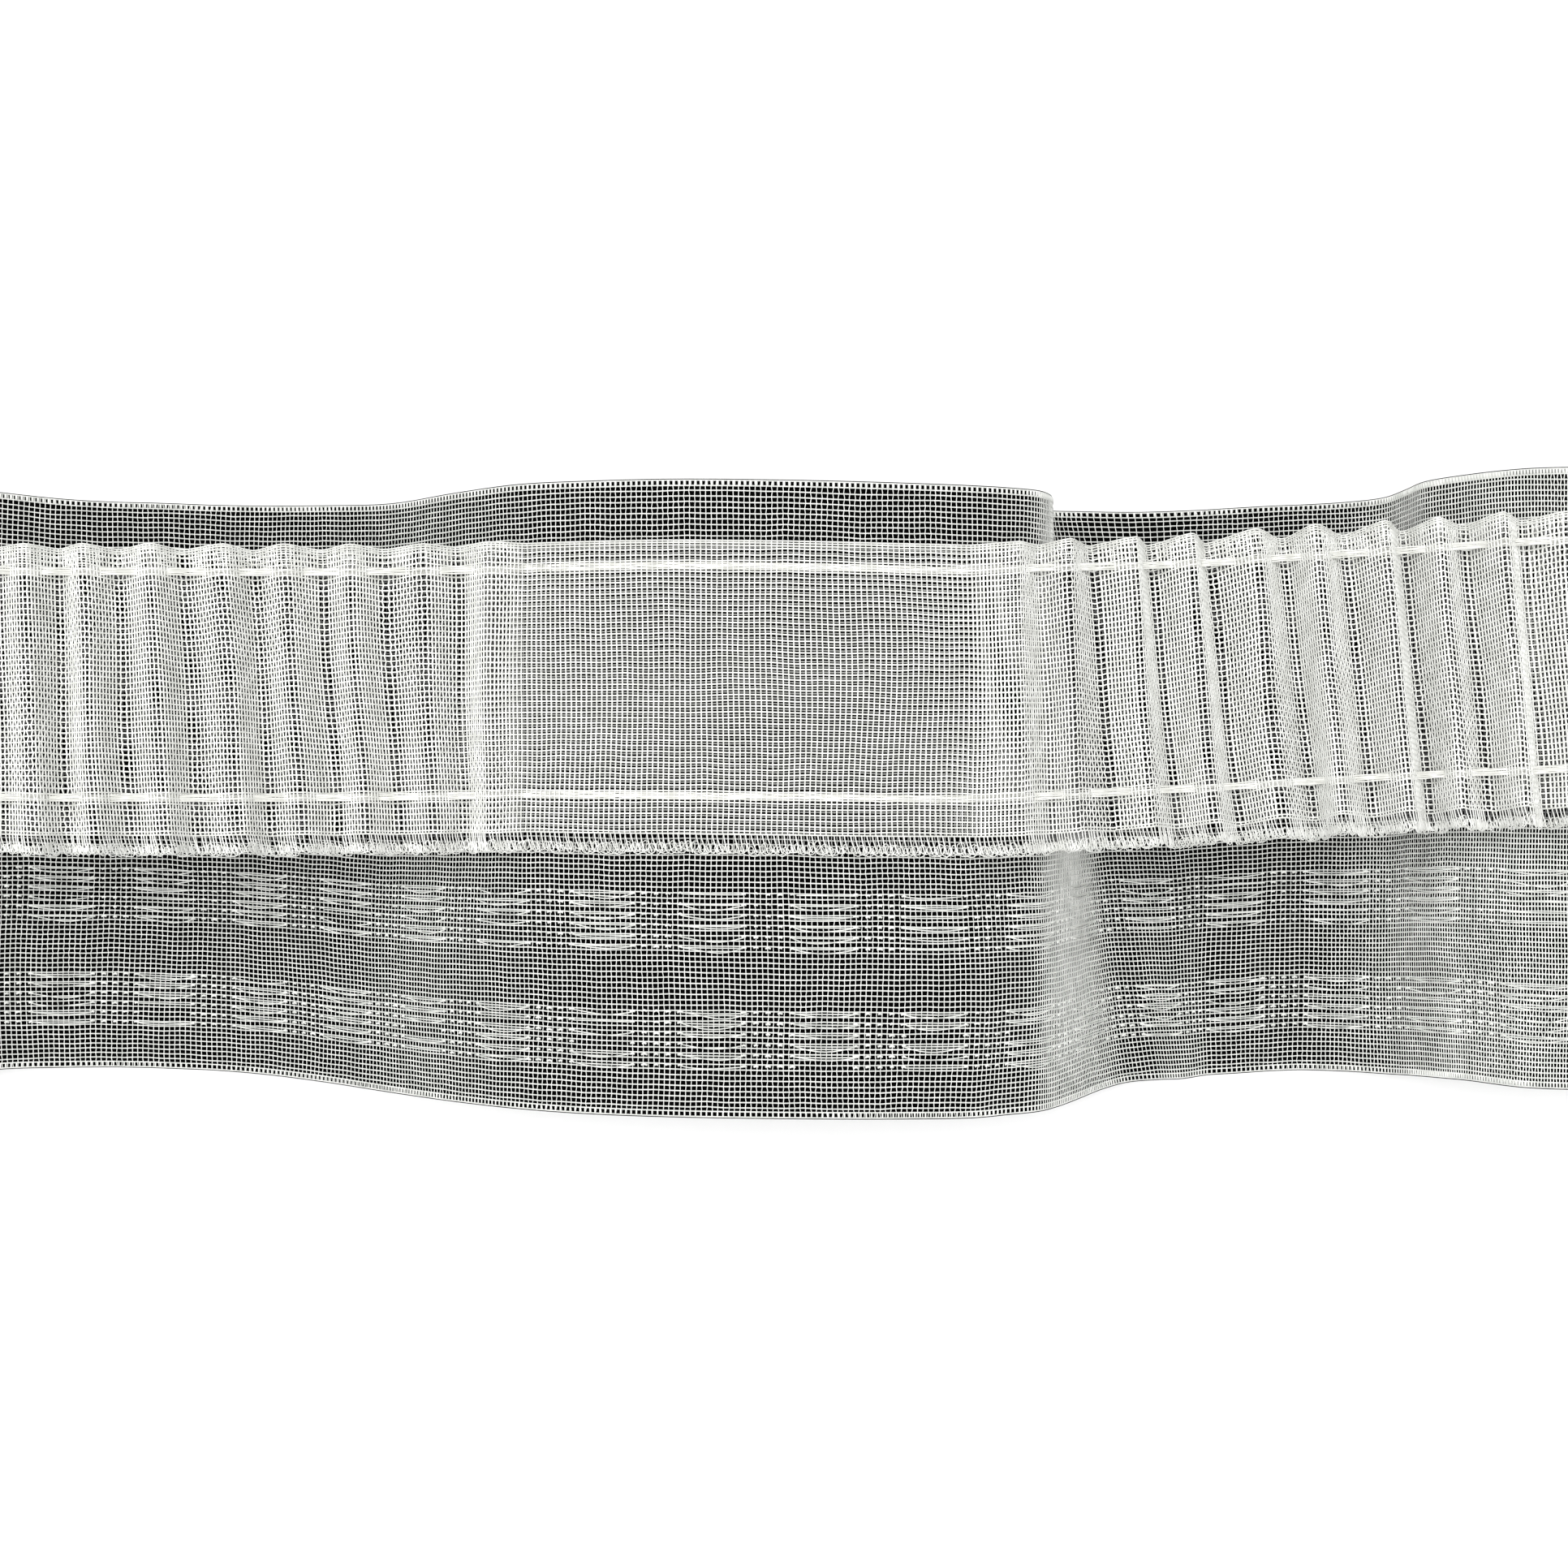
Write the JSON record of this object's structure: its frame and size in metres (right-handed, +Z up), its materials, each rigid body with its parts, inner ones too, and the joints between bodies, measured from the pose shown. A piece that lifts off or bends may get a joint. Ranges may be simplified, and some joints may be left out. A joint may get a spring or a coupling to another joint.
{
  "type": "gathered curtain heading tape",
  "caption": "Cut length of sheer mesh curtain heading tape lying in folds, with a gathering band pleated on two flat draw cords.",
  "frame": {"origin": "bottom centre of the tape's box, on the table it lies on", "axes": "+X along the tape, +Y across it towards its top edge, +Z up"},
  "size_m": [0.33, 0.1038, 0.0356],
  "materials": {
    "base_mesh": "open off-white synthetic mesh, matt",
    "band_mesh": "open off-white synthetic mesh, soft sheen",
    "draw_cord": "flat white woven cord, soft sheen"
  },
  "bodies": {
    "root": {"base_tape": "base_mesh", "front_band": "band_mesh", "draw_cord_upper": "draw_cord", "draw_cord_lower": "draw_cord"}
  },
  "joints": []
}
